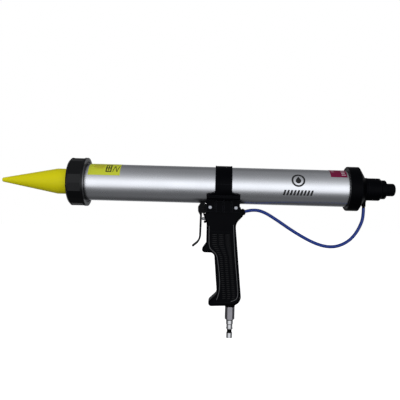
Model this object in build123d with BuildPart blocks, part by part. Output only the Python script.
"""Pneumatic caulking gun, as an assembly of separate pieces, in millimetres.

+X runs along the barrel from the nozzle's outlet to the rear, +Z is up, and the pistol
handle hangs down. The origin is the centre of the nozzle's outlet. The left side of the
gun, as its user holds it, is -Y.
"""

from build123d import *
import os
from math import cos, pi, radians, sin, sqrt, tan

os.makedirs("parts", exist_ok=True)

# ---------------------------------------------------------------- driving dimensions

# Clearances
fit_gap = 0.05  # radial, a shaft or a thread in its bore
face_gap = 0.1  # axial, between faces that are drawn up against each other
swing_gap = 0.5  # between a moving piece and what it passes

# Barrel
tube_od = 54.0
tube_wall = 2.0
tube_length = 413.5

# Nozzle
outlet_r = 1.75
outlet_length = 8.0
tip_r = 3.1
nozzle_base_r = 18.65
nozzle_wall = 1.6
cone_length = 82.0
nozzle_reach = 102.0  # tip to the ring nut's front face
flange_inset = 1.0  # radial, nozzle flange to the outside of the tube
flange_thickness = 2.9
nozzle_seal_thickness = 1.3

# Ring nut on the front collar
front_collar_wall = 3.45
nut_length = 25.0
nut_front_wall = 4.0
nut_wall = 5.2
nut_lip = 3.5
nut_facets = 18
nut_facet_depth = 0.45
nut_chamfer = 2.6

# Rear cap on the rear collar
rear_collar_wall = 2.55
cap_wall = 3.1
cap_overlap = 13.7  # how far the cap reaches over the tube
cap_seal_thickness = 1.8
cap_rim_length = 16.6
cap_length = 30.7
cap_neck_r = 17.0
cap_neck_length = 4.0
cap_hollow_depth = 3.0
cap_hollow_r = 24.5

# Piston
piston_length = 22.0
piston_gap = 0.4  # radial, piston body to the tube
seal_gap = 0.1  # radial, seal to the tube
seal_r = 1.5
piston_inset = 22.0  # from the tube's rear end

# Pressure regulator behind the cap
regulator_r = 16.6
regulator_length = 18.0
regulator_taper = 2.0
spigot_r = 8.0
spigot_length = 6.0
spigot_bore_r = 5.0
spring_room_r = 9.0
seat_r = 3.2
seat_thickness = 2.0
poppet_r = 5.5
poppet_thickness = 3.0
bonnet_r = 14.05
bonnet_length = 7.0
bonnet_spigot_length = 5.5
bonnet_bore_r = 5.0
bonnet_room_r = 6.6
screw_head_r = 6.2
screw_head_thickness = 2.5
screw_stub_r = 3.0
screw_stub_length = 3.4
knob_r = 9.4
knob_length = 14.2
knob_end_r = 3.0
knob_flutes = 16
knob_flute_r = 0.8

# Labels on the barrel: start, length, and the arc they cover above the left horizontal
label_thickness = 0.12
front_label_start = 5.0  # behind the ring nut
front_label_length = 46.0
front_label_arc = (21.0, 110.0)
rear_label_start = 27.3  # ahead of the cap
rear_label_length = 24.0
rear_label_arc = (36.0, 92.0)

# Clamp under the barrel
clamp_from_front = 217.8  # tube front to the middle of the clamp
band_width = 24.4
band_thickness = 1.8
band_rim = 0.35
band_rim_width = 1.4
tab_thickness = 1.6
saddle_length = 48.7
saddle_width = 17.0  # half width of the block
saddle_flange = 1.4  # how far the flange stands out from the tube
skirt_thickness = 0.8  # how far the skirt stands out from the band
skirt_top = 28.0  # heights here are above the tube's lowest line
skirt_flare = 15.2
flange_top = 13.6
flange_bottom = 5.1
saddle_bottom = -12.2
saddle_rib_width = 2.4
saddle_rib_height = 1.3
clamp_screw_spacing = 37.5
clamp_screw_height = -5.6
clamp_screw_r = 2.0
clamp_head_r = 3.0
clamp_head_height = 2.2
clamp_nut_across = 7.0
clamp_nut_height = 3.2

# Handle
grip_half = 15.0  # half thickness
grip_edge_r = 3.8
grip_wall = 3.0
tenon_half = 8.6
tongue_half = 6.8
tongue_r = 5.5
panel_depth = 0.5
valve_half = 8.0  # half thickness of the valve body
boss_r = 3.6
handle_screw_r = 1.4
handle_head_r = 2.8
handle_head_height = 2.0
handle_screw_length = 21.0

# Trigger
pivot = (-28.0, -7.6)
pin_r = 2.0
pin_overhang = 0.9
trigger_hub_r = 7.3
ear_thickness = 2.4
blade_thickness = 2.6
blade_plane = -32.2  # the upright blade's middle

# Trigger valve
stem_height = -23.0
stem_r = 2.1
stem_head_r = 4.2
stem_head_thickness = 3.0
valve_front = -18.8
valve_back = 18.7
valve_top = -13.6
valve_bottom = -31.8
guide_length = 8.0
outlet_room_r = 4.0
outlet_room_length = 6.0
inlet_seat_r = 3.0
inlet_seat_length = 4.1
inlet_room_r = 5.0
gallery_r = 1.4
gallery_height = -15.9
plug_length = 9.5
stem_seal_r = 3.4
stem_seal_length = 1.5
spring_wire_r = 0.45
valve_spring_r = 3.2
valve_spring_turns = 4
regulator_spring_turns = 5
regulator_spring_mean_r = 4.2

# Air inlet at the handle's foot
inlet_x = 14.4
inlet_tube_r = 3.6
inlet_bore_r = 2.2
bush_r = 6.4
bush_flange_r = 7.4
bush_flange = 2.6
bush_top = -133.0
foot_height = -149.8
adapter_across = 12.4
adapter_length = 19.0
adapter_spigot_r = 4.6
adapter_spigot_length = 8.0
plug_thread_r = 4.2
plug_thread_length = 7.0
coupler_bulb_r = 5.15
coupler_neck_r = 4.45
coupler_tip_r = 4.3
coupler_groove_r = 3.5
coupler_bore_r = 2.4

# Hose and its fittings
hose_od = 4.8
hose_bore_r = 1.5
hose_tilt = 16.5  # the hose leaves the handle this many degrees above +X
fitting_r = 4.9
shank_r = 3.0
shank_length = 11.5
fitting_length = 5.0
rear_fitting_r = 3.0
rear_shank_r = 2.6
rear_shank_length = 8.0
release_ring = 2.4
port_boss_r = 3.5
port_r = 1.6

# The hose's route in the plane y = 0, as (x, z) corners from the handle to the cap
hose_route = [
    (361.2, -37.8),
    (371.2, -34.9),
    (386.5, -36.3),
    (404.5, -46.2),
    (438.0, -68.3),
    (470.0, -84.5),
    (494.0, -88.0),
    (513.5, -80.5),
    (526.5, -67.5),
    (534.8, -51.0),
    (537.4, -40.0),
    (537.4, -28.0),
]

# Handle outline in its own plane, as (along, up, corner radius), from the trigger's side down
# the front, round the foot and up the back; 0 is a sharp corner
grip_corners = [
    (-29.0, -15.6, 0),
    (-23.4, -29.2, 8),
    (-23.3, -58.0, 6),
    (-32.9, -72.0, 4.2),
    (-11.3, -72.0, 6.5),
    (-5.9, -132.0, 7),
    (-18.0, -143.6, 5),
    (-17.8, -150.6, 4.5),
    (31.0, -148.4, 13),
    (19.2, -28.9, 14),
    (29.7, -17.6, 0),
    (28.2, -12.6, 0),
    (-19.7, -12.6, 0),
    (-20.1, -15.6, 0),
]
tenon_corners = [
    (-19.7, -1.6, 0),
    (22.0, -1.6, 0),
    (26.0, -4.6, 1.5),
    (28.2, -12.6, 0),
    (-19.7, -12.6, 0),
]
cavity_corners = [
    (-20.0, -34.5, 1),
    (-20.0, -60.0, 1),
    (-7.6, -76.0, 3),
    (-3.2, -130.0, 2),
    (24.8, -130.0, 2),
    (15.2, -34.5, 1),
]
panel_corners = [
    (-19.2, -41.0, 1.5),
    (-19.2, -59.0, 4),
    (-7.4, -75.5, 6),
    (-2.0, -131.0, 5),
    (-9.6, -141.5, 2),
    (-9.6, -144.3, 1.5),
    (22.0, -143.4, 6),
    (26.6, -138.0, 4),
    (14.7, -41.0, 1.5),
]
nose_corners = [
    (-27.0, 1.4, 0),
    (-33.0, 0.9, 3),
    (-36.7, -5.0, 4),
    (-36.5, -12.0, 5),
    (blade_plane - blade_thickness / 2, -17.5, 3),
    (blade_plane - blade_thickness / 2, -20.0, 0),
    (blade_plane + blade_thickness / 2, -20.0, 0),
    (blade_plane + blade_thickness / 2, -13.0, 0),
    (-28.0, -9.0, 0),
]
blade_route = [(blade_plane, -16.0), (blade_plane - 0.6, -54.6), (-43.5, -63.5)]
blade_bend_r = 16.0
lug_place = (-25.9, -27.4)
lug_r = 1.9
handle_screw_places = [(-15.3, -45.0), (0.2, -98.0), (-6.3, -143.0)]
saddle_rib_places = [-10.6, 0.7, 12.5]
inlet_tube_route = [(5.7, -29.6), (5.7, -47.0), (inlet_x, -123.0), (inlet_x, -140.0)]
inlet_tube_bend_r = 25.0

# ---------------------------------------------------------------- dependent dimensions

tube_r = tube_od / 2
tube_bore_r = tube_r - tube_wall
flange_r = tube_r - flange_inset
tube_front = nozzle_reach + nut_front_wall + flange_thickness + nozzle_seal_thickness + 3 * face_gap
tube_rear = tube_front + tube_length
front_collar_r = tube_r + fit_gap + front_collar_wall
nut_bore_r = front_collar_r + fit_gap
nut_r = nut_bore_r + nut_wall
nut_rear = nozzle_reach + nut_length
rear_collar_r = tube_r + fit_gap + rear_collar_wall
cap_front = tube_rear - cap_overlap
cap_bore_r = rear_collar_r + fit_gap
cap_r = cap_bore_r + cap_wall
cap_inside = tube_rear + cap_seal_thickness + 2 * face_gap
cap_rear = cap_front + cap_length
port_x = cap_rear - cap_neck_length + 0.4
clamp_x = tube_front + clamp_from_front
belly = -tube_r
knob_front = cap_rear + regulator_length + regulator_taper + bonnet_length + 2 * face_gap

# The handle, the trigger and their insides are drawn in this plane: along the barrel from the
# clamp's middle, and up from the tube's lowest line
grip = Plane(origin=(clamp_x, 0, belly), x_dir=(1, 0, 0), z_dir=(0, -1, 0))


def section(*corners, plane=Plane.XZ):
    """A face with straight sides through its corners."""
    with BuildSketch(plane) as face:
        with BuildLine():
            Polyline(*corners, close=True)
        make_face()
    return face.sketch


def outline(corners, plane=grip):
    """A face with a rounded corner wherever (along, up, radius) gives a radius."""
    with BuildSketch(plane) as face:
        with BuildLine():
            points = [(u, w) for u, w, _ in corners]
            FilletPolyline(*points, radius=[radius for _, _, radius in corners], close=True)
        make_face()
    return face.sketch


def disc(u, w, radius, plane=grip):
    """A round face in the handle's plane."""
    with BuildSketch(plane) as face:
        with Locations((u, w)):
            Circle(radius)
    return face.sketch


def ring(x, length, inner_r, outer_r):
    """The half section of a plain ring on the barrel's axis."""
    return section((x, inner_r), (x + length, inner_r), (x + length, outer_r), (x, outer_r))


# ---------------------------------------------------------------- nozzle and ring nut

cone_slope = (nozzle_base_r - tip_r) / cone_length
inner_tip_r = tip_r + cone_slope * outlet_length - nozzle_wall
nozzle_inner_r = nozzle_base_r - nozzle_wall
flange_front = nozzle_reach + nut_front_wall + face_gap
flange_back = flange_front + flange_thickness

with BuildPart() as nozzle:
    tip_round = 0.5
    revolve(
        section(
            (0, outlet_r),
            (0, tip_r - tip_round),
            (tip_round, tip_r),
            (cone_length, nozzle_base_r),
            (flange_front, nozzle_base_r),
            (flange_front, flange_r),
            (flange_back, flange_r),
            (flange_back, nozzle_inner_r),
            (cone_length, nozzle_inner_r),
            (outlet_length, inner_tip_r),
            (outlet_length, outlet_r),
        ),
        axis=Axis.X,
    )

with BuildPart() as nozzle_seal:
    revolve(
        ring(flange_back + face_gap, nozzle_seal_thickness, tube_bore_r - 4.0, flange_r),
        axis=Axis.X,
    )

with BuildPart() as retaining_nut:
    # The lips stand proud of the facets between them
    facet_r = nut_r - nut_facet_depth
    revolve(
        section(
            (nozzle_reach, 0),
            (nozzle_reach, facet_r - nut_chamfer),
            (nozzle_reach + nut_chamfer, facet_r),
            (nozzle_reach + nut_lip, facet_r),
            (nozzle_reach + nut_lip, 0),
        ),
        axis=Axis.X,
    )
    with BuildSketch(Plane.YZ.offset(nozzle_reach + nut_lip)):
        RegularPolygon(facet_r, nut_facets, rotation=4)
    extrude(amount=nut_length - 2 * nut_lip)
    with BuildSketch(Plane.YZ.offset(nut_rear - nut_lip)):
        Circle(nut_r)
    extrude(amount=nut_lip)
    hole_gap = 0.65
    revolve(
        section(
            (nozzle_reach, 0),
            (nozzle_reach, nozzle_base_r + hole_gap),
            (nozzle_reach + nut_front_wall, nozzle_base_r + hole_gap),
            (nozzle_reach + nut_front_wall, nut_bore_r),
            (nut_rear, nut_bore_r),
            (nut_rear, 0),
        ),
        axis=Axis.X,
        mode=Mode.SUBTRACT,
    )

# ---------------------------------------------------------------- barrel

with BuildPart() as barrel_tube:
    revolve(ring(tube_front, tube_length, tube_bore_r, tube_r), axis=Axis.X)

collar_inset = 0.5
with BuildPart() as front_collar:
    front_collar_length = nut_rear - tube_front - 2 * collar_inset
    revolve(
        ring(tube_front + collar_inset, front_collar_length, tube_r + fit_gap, front_collar_r),
        axis=Axis.X,
    )

with BuildPart() as rear_collar:
    rear_collar_length = cap_overlap - 2 * collar_inset
    revolve(
        ring(cap_front + collar_inset, rear_collar_length, tube_r + fit_gap, rear_collar_r),
        axis=Axis.X,
    )


def label_on_barrel(start, length, arc):
    """A thin label that covers an arc of the barrel, measured up from the left horizontal."""
    with BuildPart() as label:
        revolve(
            ring(start, length, tube_r, tube_r + label_thickness).rotate(Axis.X, 90 - arc[1]),
            axis=Axis.X,
            revolution_arc=arc[1] - arc[0],
        )
    return label


front_label = label_on_barrel(nut_rear + front_label_start, front_label_length, front_label_arc)
rear_label = label_on_barrel(cap_front - rear_label_start, rear_label_length, rear_label_arc)

# ---------------------------------------------------------------- piston

piston_r = tube_bore_r - piston_gap
piston_rear = tube_rear - piston_inset
piston_front = piston_rear - piston_length
seal_centre_r = tube_bore_r - seal_gap - seal_r
groove_r = seal_centre_r - seal_r - fit_gap
groove_half = seal_r + 0.1
seal_places = [piston_front + 5.5, piston_rear - 5.5]

with BuildPart() as piston:
    dish_depth = 6.0
    rim = 3.0
    revolve(
        section(
            (piston_front + dish_depth, 0),
            (piston_front + dish_depth, piston_r - 2 * rim - dish_depth),
            (piston_front, piston_r - rim),
            (piston_front, piston_r),
            (piston_rear, piston_r),
            (piston_rear, piston_r - 2 * rim),
            (piston_rear - dish_depth, piston_r - 3 * rim),
            (piston_rear - dish_depth, 0),
        ),
        axis=Axis.X,
    )
    for place in seal_places:
        revolve(
            ring(place - groove_half, 2 * groove_half, groove_r, tube_r),
            axis=Axis.X,
            mode=Mode.SUBTRACT,
        )

with BuildPart() as piston_seals:
    for place in seal_places:
        with BuildSketch(Plane.XZ):
            with Locations((place, seal_centre_r)):
                Circle(seal_r)
        revolve(axis=Axis.X)

# ---------------------------------------------------------------- rear cap

with BuildPart() as cap_seal:
    revolve(
        ring(tube_rear + face_gap, cap_seal_thickness, cap_hollow_r, cap_bore_r - 0.1),
        axis=Axis.X,
    )

with BuildPart() as rear_cap:
    rim_chamfer = 0.8
    cone_start = cap_front + cap_rim_length
    neck_start = cap_rear - cap_neck_length
    revolve(
        section(
            (cap_front, cap_bore_r),
            (cap_front, cap_r - rim_chamfer),
            (cap_front + rim_chamfer, cap_r),
            (cone_start, cap_r),
            (neck_start, cap_neck_r),
            (cap_rear, cap_neck_r),
            (cap_rear, spigot_r + fit_gap),
            (cap_rear - spigot_length, spigot_r + fit_gap),
            (cap_rear - spigot_length, spigot_bore_r),
            (cap_inside + cap_hollow_depth, spigot_bore_r),
            (cap_inside + cap_hollow_depth, cap_hollow_r),
            (cap_inside, cap_hollow_r),
            (cap_inside, cap_bore_r),
        ),
        axis=Axis.X,
    )
    # Boss and port for the hose fitting, under the neck
    port_face = -(cap_neck_r + 1.8)
    with BuildSketch(Plane.XY.offset(port_face)):
        with Locations((port_x, 0)):
            Circle(port_boss_r)
    extrude(amount=-port_face - spigot_r - 2)
    with BuildSketch(Plane.XY.offset(port_face)):
        with Locations((port_x, 0)):
            Circle(rear_shank_r)
    extrude(amount=rear_shank_length, mode=Mode.SUBTRACT)
    with BuildSketch(Plane.XY.offset(port_face)):
        with Locations((port_x, 0)):
            Circle(port_r)
    extrude(amount=-port_face - spigot_r + 1, mode=Mode.SUBTRACT)
    # The fitting's collar sinks into the cone
    with BuildSketch(Plane.XY.offset(port_face)):
        with Locations((port_x, 0)):
            Circle(rear_fitting_r + swing_gap / 2)
    extrude(amount=-cap_r, mode=Mode.SUBTRACT)

# ---------------------------------------------------------------- regulator

body_end = cap_rear + regulator_length + regulator_taper
room_start = cap_rear + 2 * seat_thickness

with BuildPart() as regulator_body:
    taper_r = bonnet_r + 0.5
    revolve(
        section(
            (cap_rear - spigot_length + face_gap, spigot_bore_r),
            (cap_rear - spigot_length + face_gap, spigot_r),
            (cap_rear, spigot_r),
            (cap_rear, regulator_r),
            (body_end - regulator_taper, regulator_r),
            (body_end, taper_r),
            (body_end, spring_room_r),
            (room_start, spring_room_r),
            (room_start, seat_r),
            (room_start - seat_thickness, seat_r),
            (room_start - seat_thickness, spigot_bore_r),
        ),
        axis=Axis.X,
    )
    # The hose's air comes in through the spigot's underside
    with BuildSketch(Plane.XY.offset(-spigot_r - 1)):
        with Locations((port_x, 0)):
            Circle(port_r + 0.4)
    extrude(amount=spigot_r, mode=Mode.SUBTRACT)

with BuildPart() as regulator_poppet:
    poppet_front = room_start + face_gap
    revolve(ring(poppet_front, poppet_thickness, 0, poppet_r), axis=Axis.X)

bonnet_front = body_end + face_gap
screw_front = bonnet_front - bonnet_spigot_length + 1.0
screw_back = screw_front + screw_head_thickness
knob_stem_front = screw_back + face_gap

with BuildPart() as regulator_bonnet:
    room_end = screw_back + 2.6
    bonnet_chamfer = 0.7
    revolve(
        section(
            (bonnet_front - bonnet_spigot_length, bonnet_room_r),
            (bonnet_front - bonnet_spigot_length, spring_room_r - fit_gap),
            (bonnet_front, spring_room_r - fit_gap),
            (bonnet_front, bonnet_r),
            (bonnet_front + bonnet_length - bonnet_chamfer, bonnet_r),
            (bonnet_front + bonnet_length, bonnet_r - bonnet_chamfer),
            (bonnet_front + bonnet_length, bonnet_bore_r + fit_gap),
            (room_end, bonnet_bore_r + fit_gap),
            (room_end, bonnet_room_r),
        ),
        axis=Axis.X,
    )

with BuildPart() as regulator_screw:
    revolve(ring(screw_front, screw_head_thickness, 0, screw_head_r), axis=Axis.X)
    revolve(ring(screw_back, screw_stub_length, 0, screw_stub_r), axis=Axis.X)

with BuildPart() as regulator_knob:
    knob_end = knob_front + knob_length
    stub_room = screw_stub_length + 0.3
    revolve(
        section(
            (knob_stem_front + stub_room, 0),
            (knob_stem_front + stub_room, screw_stub_r + fit_gap),
            (knob_stem_front, screw_stub_r + fit_gap),
            (knob_stem_front, bonnet_bore_r),
            (knob_front, bonnet_bore_r),
            (knob_front, knob_r),
            (knob_end, knob_r),
            (knob_end, 0),
        ),
        axis=Axis.X,
    )
    fillet(regulator_knob.edges().sort_by(Axis.X)[-1], knob_end_r)
    with BuildSketch(Plane.YZ.offset(knob_front)):
        with PolarLocations(knob_r + knob_flute_r / 2, knob_flutes):
            Circle(knob_flute_r)
    extrude(amount=knob_length - knob_end_r, mode=Mode.SUBTRACT)


def coil(start, length, mean_r, turns, height=0.0):
    """An open coil spring along X, at a height on the gun's middle plane."""
    centre = (start + spring_wire_r, 0, height)
    run = length - 2 * spring_wire_r
    with BuildPart() as spring:
        with BuildLine() as wire:
            Helix(pitch=run / turns, height=run, radius=mean_r, center=centre, direction=(1, 0, 0))
        with BuildSketch(Plane(origin=wire.line @ 0, z_dir=wire.line % 0)):
            Circle(spring_wire_r)
        sweep(path=wire.line)
    return spring


regulator_spring_start = poppet_front + poppet_thickness + face_gap
regulator_spring = coil(
    regulator_spring_start,
    screw_front - regulator_spring_start - face_gap,
    regulator_spring_mean_r,
    regulator_spring_turns,
)

# ---------------------------------------------------------------- clamp

band_inner_r = tube_r + fit_gap
band_outer_r = band_inner_r + band_thickness
skirt_r = band_outer_r + skirt_thickness
tab_outer = tenon_half + tab_thickness
band_start = clamp_x - band_width / 2
across = Plane(origin=(band_start, 0, 0), x_dir=(0, 1, 0), z_dir=(1, 0, 0))

with BuildPart() as clamp_band:
    with BuildSketch(across):
        Circle(band_outer_r)
        with Locations((0, belly)):
            Rectangle(2 * tab_outer, 2 * -saddle_bottom, mode=Mode.ADD)
        Circle(band_inner_r, mode=Mode.SUBTRACT)
        with Locations((0, belly)):
            Rectangle(2 * tenon_half, 3 * -saddle_bottom, mode=Mode.SUBTRACT)
    extrude(amount=band_width)
    # A low rim along each edge, above the skirts of the saddle
    for rim_start in (0, band_width - band_rim_width):
        with BuildSketch(across.offset(rim_start)):
            Circle(band_outer_r + band_rim)
            Circle(band_inner_r, mode=Mode.SUBTRACT)
            with Locations((0, belly + skirt_top + swing_gap - band_outer_r)):
                Rectangle(2 * tube_od, 2 * band_outer_r, mode=Mode.SUBTRACT)
        extrude(amount=band_rim_width)

flange_outer = sqrt(tube_r**2 - (belly + flange_top) ** 2) + saddle_flange
flange_toe = flange_outer - 2.0
screw_places = [(end * clamp_screw_spacing / 2, clamp_screw_height) for end in (-1, 1)]


def saddle_half(side):
    """One cheek of the saddle; side is 1 for the left, -1 for the right."""
    half_length = saddle_length / 2
    half_band = band_width / 2
    with BuildPart() as cheek:
        # Skirt up over the band, flared where it meets the flange
        skirt = outline(
            [
                (-half_band, skirt_top, 0),
                (half_band, skirt_top, 0),
                (half_band, skirt_flare, 3),
                (half_length - 2, flange_top - 0.5, 0),
                (half_length - 2, flange_top - 2, 0),
                (2 - half_length, flange_top - 2, 0),
                (2 - half_length, flange_top - 0.5, 0),
                (-half_band, skirt_flare, 3),
            ]
        )
        extrude(skirt, amount=side * 1.5 * tube_r)
        with BuildSketch(Plane.YZ.offset(clamp_x - half_length)):
            Circle(skirt_r)
        extrude(amount=saddle_length, mode=Mode.INTERSECT)
        # Flange along the tube, and the block under it that grips the handle
        profile = section(
            (-side * tab_outer, belly + saddle_bottom),
            (-side * saddle_width, belly + saddle_bottom),
            (-side * saddle_width, belly + flange_bottom),
            (-side * flange_toe, belly + flange_bottom),
            (-side * flange_outer, belly + flange_bottom + 3),
            (-side * flange_outer, belly + flange_top),
            (-side * tab_outer, belly + flange_top),
            plane=Plane.YZ.offset(clamp_x - half_length),
        )
        extrude(profile, amount=saddle_length)
        for place in saddle_rib_places:
            with BuildSketch(grip.offset(side * tab_outer)):
                with Locations((place, (saddle_bottom + flange_bottom) / 2)):
                    Rectangle(saddle_rib_width, flange_bottom - saddle_bottom)
            extrude(amount=side * (saddle_width + saddle_rib_height - tab_outer))
        # Room for the tube, the band and the screws
        with BuildSketch(Plane.YZ.offset(clamp_x - half_length)):
            Circle(band_inner_r)
        extrude(amount=saddle_length, mode=Mode.SUBTRACT)
        with BuildSketch(Plane.YZ.offset(clamp_x - half_band - face_gap)):
            Circle(band_outer_r + fit_gap)
        extrude(amount=band_width + 2 * face_gap, mode=Mode.SUBTRACT)
        with BuildSketch(grip):
            with Locations(*screw_places):
                Circle(clamp_screw_r + fit_gap)
        extrude(amount=side * tube_od, mode=Mode.SUBTRACT)
    return cheek


saddle_left = saddle_half(1)
saddle_right = saddle_half(-1)

with BuildPart() as clamp_screws:
    shaft_end = saddle_width + clamp_nut_height + 1
    with BuildSketch(grip.offset(saddle_width)):
        with Locations(*screw_places):
            Circle(clamp_head_r)
    extrude(amount=clamp_head_height)
    fillet(clamp_screws.edges().group_by(Axis.Y)[0], clamp_head_height * 0.6)
    with BuildSketch(grip.offset(-shaft_end)):
        with Locations(*screw_places):
            Circle(clamp_screw_r)
    extrude(amount=shaft_end + saddle_width)
    # Hexagon sockets
    with BuildSketch(grip.offset(saddle_width + clamp_head_height)):
        with Locations(*screw_places):
            RegularPolygon(clamp_screw_r * 0.6, 6)
    extrude(amount=-clamp_head_height * 0.6, mode=Mode.SUBTRACT)

with BuildPart() as clamp_nuts:
    with BuildSketch(grip.offset(-saddle_width)):
        with Locations(*screw_places):
            RegularPolygon(clamp_nut_across / 2, 6, major_radius=False)
            Circle(clamp_screw_r + fit_gap, mode=Mode.SUBTRACT)
    extrude(amount=-clamp_nut_height)

# ---------------------------------------------------------------- handle

exit_point = Vector(hose_route[0][0], 0, hose_route[0][1])
hose_out = Vector(cos(radians(hose_tilt)), 0, sin(radians(hose_tilt)))
fitting_plane = Plane(origin=exit_point, x_dir=hose_out, z_dir=(0, -1, 0))
fitting_axis = Axis(origin=exit_point, direction=hose_out)
shank_end = -fitting_length - shank_length
stem_axis = Axis(origin=grip.from_local_coords((0, stem_height, 0)), direction=(1, 0, 0))
inlet_axis = Axis(origin=grip.from_local_coords((inlet_x, 0, 0)), direction=(0, 0, 1))


def stem_section(start, length, inner_r, outer_r):
    """The half section of a ring on the valve stem's axis."""
    low, high = stem_height + inner_r, stem_height + outer_r
    end = start + length
    return section((start, low), (end, low), (end, high), (start, high), plane=grip)


def inlet_section(*corners):
    """A half section on the inlet's upright axis, from (radius, up) corners."""
    return section(*[(inlet_x + radius, up) for radius, up in corners], plane=grip)


def fitting_ring(start, end, radius):
    """The half section of a plain rod on the front hose fitting's axis."""
    return section((start, 0), (end, 0), (end, radius), (start, radius), plane=fitting_plane)


with BuildPart() as handle_core:
    # What the two halves leave open between them: valve, stem, tube, inlet bush and fitting
    pocket_gap = fit_gap
    pocket_clearance = 0.2
    with BuildSketch(grip):
        with Locations(((valve_front + valve_back) / 2, (valve_top + valve_bottom) / 2)):
            Rectangle(
                valve_back - valve_front + 2 * pocket_gap,
                valve_top - valve_bottom + 2 * pocket_gap,
            )
    extrude(amount=valve_half + pocket_gap, both=True)
    stem_way_length = valve_front - grip_corners[3][0] + 2
    revolve(
        stem_section(valve_front - stem_way_length, stem_way_length, 0, stem_r + pocket_clearance),
        axis=stem_axis,
    )
    inlet_top = inlet_tube_route[0]
    with BuildSketch(Plane.XY.offset(belly + cavity_corners[0][1] - 1)):
        with Locations((clamp_x + inlet_top[0], 0)):
            Circle(inlet_tube_r + pocket_clearance)
    extrude(amount=cavity_corners[0][1] * -1 + valve_bottom + 2)
    bush_reach = cavity_corners[3][1] + 1
    revolve(
        inlet_section(
            (0, bush_reach),
            (bush_r + fit_gap, bush_reach),
            (bush_r + fit_gap, foot_height),
            (bush_flange_r + 1, foot_height),
            (bush_flange_r + 1, foot_height - 5),
            (0, foot_height - 5),
        ),
        axis=inlet_axis,
    )
    revolve(
        fitting_ring(shank_end - pocket_clearance, fitting_length, shank_r + fit_gap),
        axis=fitting_axis,
    )
    revolve(
        fitting_ring(-fitting_length, fitting_length, fitting_r + 3),
        axis=fitting_axis,
    )
    with BuildSketch(grip):
        with Locations(pivot):
            Circle(pin_r + fit_gap)
        with Locations(*screw_places):
            Circle(clamp_screw_r + fit_gap)
    extrude(amount=grip_half, both=True)

with BuildPart() as screw_ways:
    # Handle screws come in from the right, with their heads sunk in that half
    with BuildSketch(grip.offset(-grip_half - 1)):
        with Locations(*handle_screw_places):
            Circle(handle_screw_r + fit_gap)
    extrude(amount=handle_screw_length + 1.5)
    with BuildSketch(grip.offset(-grip_half - 1)):
        with Locations(*handle_screw_places):
            Circle(handle_head_r + 0.1)
    extrude(amount=handle_head_height + 1.2)


def handle_half(side):
    """One moulded half of the pistol handle; side is 1 for the left, -1 for the right."""
    with BuildPart() as half:
        extrude(outline(grip_corners), amount=side * grip_half)
        outer = half.faces().sort_by(Axis.Y)[0 if side > 0 else -1]
        edge_top = belly + grip_corners[1][1] + 0.5
        soft_edges = outer.edges().filter_by(lambda edge: edge.bounding_box().max.Z < edge_top)
        fillet(soft_edges, grip_edge_r)
        extrude(
            outline(panel_corners, grip.offset(side * grip_half)),
            amount=-side * panel_depth,
            mode=Mode.SUBTRACT,
        )
        # Tenon between the cheeks of the clamp, tongue for the trigger's pin, and a small lug
        extrude(outline(tenon_corners), amount=side * tenon_half)
        extrude(disc(*pivot, tongue_r), amount=side * tongue_half)
        tongue = section(
            (pivot[0], pivot[1] + tongue_r),
            (tenon_corners[0][0] + 1, pivot[1] + tongue_r),
            (tenon_corners[0][0] + 1, grip_corners[0][1] - 1),
            (pivot[0] + 2.5, grip_corners[0][1] - 1),
            (pivot[0] + 2.5, pivot[1] - tongue_r),
            (pivot[0], pivot[1] - tongue_r),
            plane=grip,
        )
        extrude(tongue, amount=side * tongue_half)
        extrude(disc(*lug_place, lug_r), amount=side * tongue_half / 2)
        # Hollow grip with bosses for the screws
        extrude(outline(cavity_corners), amount=side * (grip_half - grip_wall), mode=Mode.SUBTRACT)
        for place in handle_screw_places[:2]:
            extrude(disc(*place, boss_r), amount=side * (grip_half - grip_wall + 0.5))
        add(handle_core.part, mode=Mode.SUBTRACT)
        add(screw_ways.part, mode=Mode.SUBTRACT)
    return half


handle_left = handle_half(1)
handle_right = handle_half(-1)

with BuildPart() as handle_screws:
    with BuildSketch(grip.offset(-grip_half)):
        with Locations(*handle_screw_places):
            Circle(handle_head_r)
    extrude(amount=handle_head_height)
    with BuildSketch(grip.offset(-grip_half)):
        with Locations(*handle_screw_places):
            Circle(handle_screw_r)
    extrude(amount=handle_screw_length)
    with BuildSketch(grip.offset(-grip_half)):
        with Locations(*handle_screw_places):
            Rectangle(0.6, 3.2)
            Rectangle(3.2, 0.6)
    extrude(amount=1.0, mode=Mode.SUBTRACT)

# ---------------------------------------------------------------- trigger

with BuildPart() as trigger:
    trigger_half = tongue_half + 0.4 + ear_thickness
    extrude(disc(*pivot, trigger_hub_r), amount=trigger_half, both=True)
    extrude(outline(nose_corners), amount=trigger_half, both=True)
    with BuildSketch(grip):
        with BuildLine():
            FilletPolyline(*blade_route, radius=blade_bend_r)
        trace(line_width=blade_thickness)
    extrude(amount=trigger_half, both=True)
    # Slot for the handle's tongue
    slot_r = tongue_r + 0.7
    extrude(disc(*pivot, slot_r), amount=tongue_half + 0.4, both=True, mode=Mode.SUBTRACT)
    with BuildSketch(grip):
        with Locations((pivot[0] + 5, pivot[1])):
            Rectangle(10, 2 * trigger_hub_r + 2)
    extrude(amount=tongue_half + 0.4, both=True, mode=Mode.SUBTRACT)
    extrude(disc(*pivot, pin_r + fit_gap), amount=trigger_half, both=True, mode=Mode.SUBTRACT)
    # The nose is hollowed along its top, so that it swings clear of the tube
    with BuildSketch(Plane.YZ.offset(clamp_x + 2 * pivot[0])):
        Circle(tube_r + swing_gap)
    extrude(amount=-2 * pivot[0], mode=Mode.SUBTRACT)

with BuildPart() as trigger_pin:
    extrude(disc(*pivot, pin_r), amount=trigger_half + pin_overhang, both=True)
    chamfer(trigger_pin.edges().filter_by(GeomType.CIRCLE), 0.4)

# ---------------------------------------------------------------- trigger valve

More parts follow.
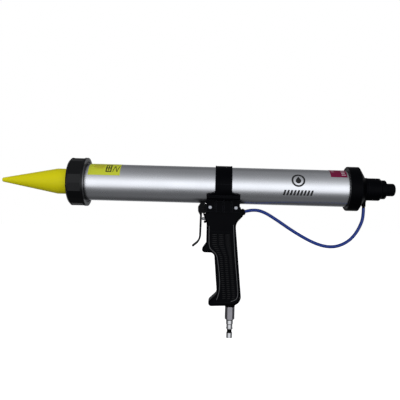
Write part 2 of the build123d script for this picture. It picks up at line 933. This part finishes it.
guide_end = valve_front + guide_length
outlet_end = guide_end + outlet_room_length
inlet_seat_end = outlet_end + inlet_seat_length
inlet_room_end = valve_back - plug_length
blade_back = blade_plane + blade_thickness / 2
stem_front = blade_back + 0.2

with BuildPart() as valve_body:
    with BuildSketch(grip):
        with Locations(((valve_front + valve_back) / 2, (valve_top + valve_bottom) / 2)):
            Rectangle(valve_back - valve_front, valve_top - valve_bottom)
    extrude(amount=valve_half, both=True)
    seal_start = valve_front + guide_length / 2
    for start, length, radius in [
        (valve_front, guide_length, stem_r + fit_gap),
        (seal_start, stem_seal_length, stem_seal_r),
        (guide_end, outlet_room_length, outlet_room_r),
        (outlet_end, inlet_seat_length, inlet_seat_r),
        (inlet_seat_end, valve_back - inlet_seat_end, inlet_room_r),
    ]:
        revolve(stem_section(start, length, 0, radius), axis=stem_axis, mode=Mode.SUBTRACT)
    # Gallery from the outlet room back to the hose fitting
    gallery_start = guide_end + outlet_room_length / 2
    gallery = section(
        (gallery_start, gallery_height),
        (valve_back, gallery_height),
        (valve_back, gallery_height + gallery_r),
        (gallery_start, gallery_height + gallery_r),
        plane=grip,
    )
    gallery_axis = Axis(origin=grip.from_local_coords((0, gallery_height, 0)), direction=(1, 0, 0))
    revolve(gallery, axis=gallery_axis, mode=Mode.SUBTRACT)
    with BuildSketch(Plane.XY.offset(belly + stem_height)):
        with Locations((clamp_x + gallery_start, 0)):
            Circle(gallery_r - 0.1)
    extrude(amount=gallery_height - stem_height, mode=Mode.SUBTRACT)
    revolve(
        fitting_ring(shank_end, 0, shank_r + fit_gap),
        axis=fitting_axis,
        mode=Mode.SUBTRACT,
    )
    # Socket for the inlet tube, and its way up to the inlet room
    with BuildSketch(Plane.XY.offset(belly + valve_bottom)):
        with Locations((clamp_x + inlet_top[0], 0)):
            Circle(inlet_tube_r + fit_gap)
    extrude(amount=inlet_top[1] - valve_bottom, mode=Mode.SUBTRACT)
    with BuildSketch(Plane.XY.offset(belly + valve_bottom)):
        with Locations((clamp_x + inlet_top[0], 0)):
            Circle(inlet_bore_r)
    extrude(amount=stem_height - valve_bottom, mode=Mode.SUBTRACT)

with BuildPart() as stem_seal:
    revolve(
        stem_section(
            seal_start + face_gap,
            stem_seal_length - 2 * face_gap,
            stem_r + fit_gap,
            stem_seal_r - fit_gap,
        ),
        axis=stem_axis,
    )

with BuildPart() as valve_stem:
    stem_length = inlet_seat_end - stem_front + 1
    revolve(stem_section(stem_front, stem_length, 0, stem_r), axis=stem_axis)
    fillet(valve_stem.edges().sort_by(Axis.X)[0], stem_r * 0.5)
    head_start = inlet_seat_end + face_gap
    revolve(stem_section(head_start, stem_head_thickness, 0, stem_head_r), axis=stem_axis)

with BuildPart() as valve_plug:
    revolve(
        stem_section(inlet_room_end, plug_length - 1.5, 0, inlet_room_r - fit_gap),
        axis=stem_axis,
    )
    with BuildSketch(Plane.YZ.offset(clamp_x + inlet_room_end + plug_length - 1.5)):
        with Locations((0, belly + stem_height)):
            RegularPolygon(2.3, 6)
    extrude(amount=-3, mode=Mode.SUBTRACT)

valve_spring_start = clamp_x + head_start + stem_head_thickness + face_gap
valve_spring = coil(
    valve_spring_start,
    clamp_x + inlet_room_end - face_gap - valve_spring_start,
    valve_spring_r,
    valve_spring_turns,
    height=belly + stem_height,
)

# ---------------------------------------------------------------- air inlet

with BuildPart() as inlet_tube:
    with BuildLine(grip) as tube_line:
        FilletPolyline(*inlet_tube_route, radius=inlet_tube_bend_r)
    with BuildSketch(Plane(origin=tube_line.line @ 0, z_dir=tube_line.line % 0)):
        Circle(inlet_tube_r)
        Circle(inlet_bore_r, mode=Mode.SUBTRACT)
    sweep(path=tube_line.line)

tube_seat = inlet_tube_route[-1][1] - face_gap
flange_low = foot_height - bush_flange
adapter_top = flange_low + adapter_spigot_length
adapter_low = flange_low - adapter_length

with BuildPart() as inlet_bush:
    revolve(
        inlet_section(
            (inlet_tube_r + fit_gap, bush_top),
            (bush_r, bush_top),
            (bush_r, foot_height),
            (bush_flange_r, foot_height),
            (bush_flange_r, flange_low),
            (adapter_spigot_r + fit_gap, flange_low),
            (adapter_spigot_r + fit_gap, adapter_top + face_gap),
            (inlet_bore_r, adapter_top + face_gap),
            (inlet_bore_r, tube_seat),
            (inlet_tube_r + fit_gap, tube_seat),
        ),
        axis=inlet_axis,
    )

with BuildPart() as inlet_adapter:
    with BuildSketch(Plane.XY.offset(belly + flange_low)):
        with Locations((clamp_x + inlet_x, 0)):
            RegularPolygon(adapter_across / 2, 6, major_radius=False)
    extrude(amount=-adapter_length)
    hex_corner = adapter_across / sqrt(3)
    hex_chamfer = 0.8
    revolve(
        inlet_section(
            (0, flange_low),
            (hex_corner - hex_chamfer, flange_low),
            (hex_corner, flange_low - hex_chamfer),
            (hex_corner, adapter_low + hex_chamfer),
            (hex_corner - hex_chamfer, adapter_low),
            (0, adapter_low),
        ),
        axis=inlet_axis,
        mode=Mode.INTERSECT,
    )
    revolve(
        inlet_section(
            (0, adapter_top),
            (adapter_spigot_r, adapter_top),
            (adapter_spigot_r, flange_low),
            (0, flange_low),
        ),
        axis=inlet_axis,
    )
    thread_top = adapter_low + plug_thread_length + face_gap
    revolve(
        inlet_section(
            (0, adapter_top + 1),
            (inlet_bore_r, adapter_top + 1),
            (inlet_bore_r, thread_top),
            (plug_thread_r + fit_gap, thread_top),
            (plug_thread_r + fit_gap, adapter_low - 1),
            (0, adapter_low - 1),
        ),
        axis=inlet_axis,
        mode=Mode.SUBTRACT,
    )

# Male quick coupler, as (radius, distance below the adapter)
coupler_profile = [
    (plug_thread_r, 0.0),
    (coupler_bulb_r - 0.9, 0.0),
    (coupler_bulb_r, 1.4),
    (coupler_bulb_r, 6.6),
    (coupler_neck_r, 7.7),
    (coupler_neck_r, 12.2),
    (coupler_neck_r + 0.5, 12.6),
    (coupler_neck_r + 0.5, 13.6),
    (coupler_groove_r, 15.2),
    (coupler_groove_r, 18.6),
    (coupler_tip_r, 20.0),
    (coupler_tip_r, 27.4),
]
coupler_length = coupler_profile[-1][1]

with BuildPart() as air_plug:
    revolve(
        inlet_section(
            (coupler_bore_r, adapter_low + plug_thread_length),
            (plug_thread_r, adapter_low + plug_thread_length),
            *[(radius, adapter_low - down) for radius, down in coupler_profile],
            (coupler_bore_r, adapter_low - coupler_length),
        ),
        axis=inlet_axis,
    )

# ---------------------------------------------------------------- hose

with BuildPart() as front_hose_fitting:
    revolve(
        section(
            (shank_end, hose_bore_r),
            (shank_end, shank_r),
            (-fitting_length, shank_r),
            (-fitting_length, fitting_r),
            (-release_ring / 2, fitting_r),
            (-release_ring / 2, fitting_r - 1.1),
            (0, fitting_r - 1.1),
            (0, hose_bore_r),
            plane=fitting_plane,
        ),
        axis=fitting_axis,
    )

with BuildPart() as rear_hose_fitting:
    fitting_end = hose_route[-1][1]
    port_axis = Axis(origin=(port_x, 0, 0), direction=(0, 0, 1))
    revolve(
        section(
            (port_x + hose_bore_r, port_face + rear_shank_length - face_gap),
            (port_x + rear_shank_r - fit_gap, port_face + rear_shank_length - face_gap),
            (port_x + rear_shank_r - fit_gap, port_face),
            (port_x + rear_fitting_r, port_face),
            (port_x + rear_fitting_r, fitting_end + release_ring),
            (port_x + rear_fitting_r - 0.7, fitting_end + release_ring),
            (port_x + rear_fitting_r - 0.7, fitting_end),
            (port_x + hose_bore_r, fitting_end),
        ),
        axis=port_axis,
    )


def bend_radii(route):
    """The largest even bends that a route of straight runs allows, one for each corner."""
    points = [Vector(*point) for point in route]
    runs = [after - before for before, after in zip(points, points[1:])]
    radii = []
    for before, after in zip(runs, runs[1:]):
        shorter = min(before.length, after.length)
        radii.append(0.45 * shorter / tan(radians(before.get_angle(after)) / 2))
    return radii


with BuildPart() as air_hose:
    hose_radii = bend_radii(hose_route)
    with BuildLine(Plane.XZ) as hose_line:
        FilletPolyline(*hose_route, radius=hose_radii)
    with BuildSketch(Plane(origin=hose_line.line @ 0, z_dir=hose_line.line % 0)):
        Circle(hose_od / 2)
    sweep(path=hose_line.line)

hose_length = sum(edge.length for edge in hose_line.edges())
hose_section = pi * hose_od**2 / 4
print("hose bend radii", [round(radius, 1) for radius in hose_radii])
print("hose length", round(hose_length, 1))
print("volume against section", round(air_hose.part.volume / (hose_section * hose_length), 4))

# ---------------------------------------------------------------- write the pieces

pieces = {
    "nozzle": nozzle,
    "nozzle_seal": nozzle_seal,
    "retaining_nut": retaining_nut,
    "front_collar": front_collar,
    "barrel_tube": barrel_tube,
    "front_label": front_label,
    "rear_label": rear_label,
    "piston": piston,
    "piston_seals": piston_seals,
    "rear_collar": rear_collar,
    "cap_seal": cap_seal,
    "rear_cap": rear_cap,
    "regulator_body": regulator_body,
    "regulator_poppet": regulator_poppet,
    "regulator_spring": regulator_spring,
    "regulator_screw": regulator_screw,
    "regulator_bonnet": regulator_bonnet,
    "regulator_knob": regulator_knob,
    "clamp_band": clamp_band,
    "saddle_left": saddle_left,
    "saddle_right": saddle_right,
    "clamp_screws": clamp_screws,
    "clamp_nuts": clamp_nuts,
    "handle_left": handle_left,
    "handle_right": handle_right,
    "handle_screws": handle_screws,
    "trigger": trigger,
    "trigger_pin": trigger_pin,
    "valve_body": valve_body,
    "stem_seal": stem_seal,
    "valve_stem": valve_stem,
    "valve_spring": valve_spring,
    "valve_plug": valve_plug,
    "inlet_tube": inlet_tube,
    "inlet_bush": inlet_bush,
    "inlet_adapter": inlet_adapter,
    "air_plug": air_plug,
    "front_hose_fitting": front_hose_fitting,
    "rear_hose_fitting": rear_hose_fitting,
    "air_hose": air_hose,
}

for name, piece in pieces.items():
    piece.part.label = name
    export_step(piece.part, f"parts/{name}.step")
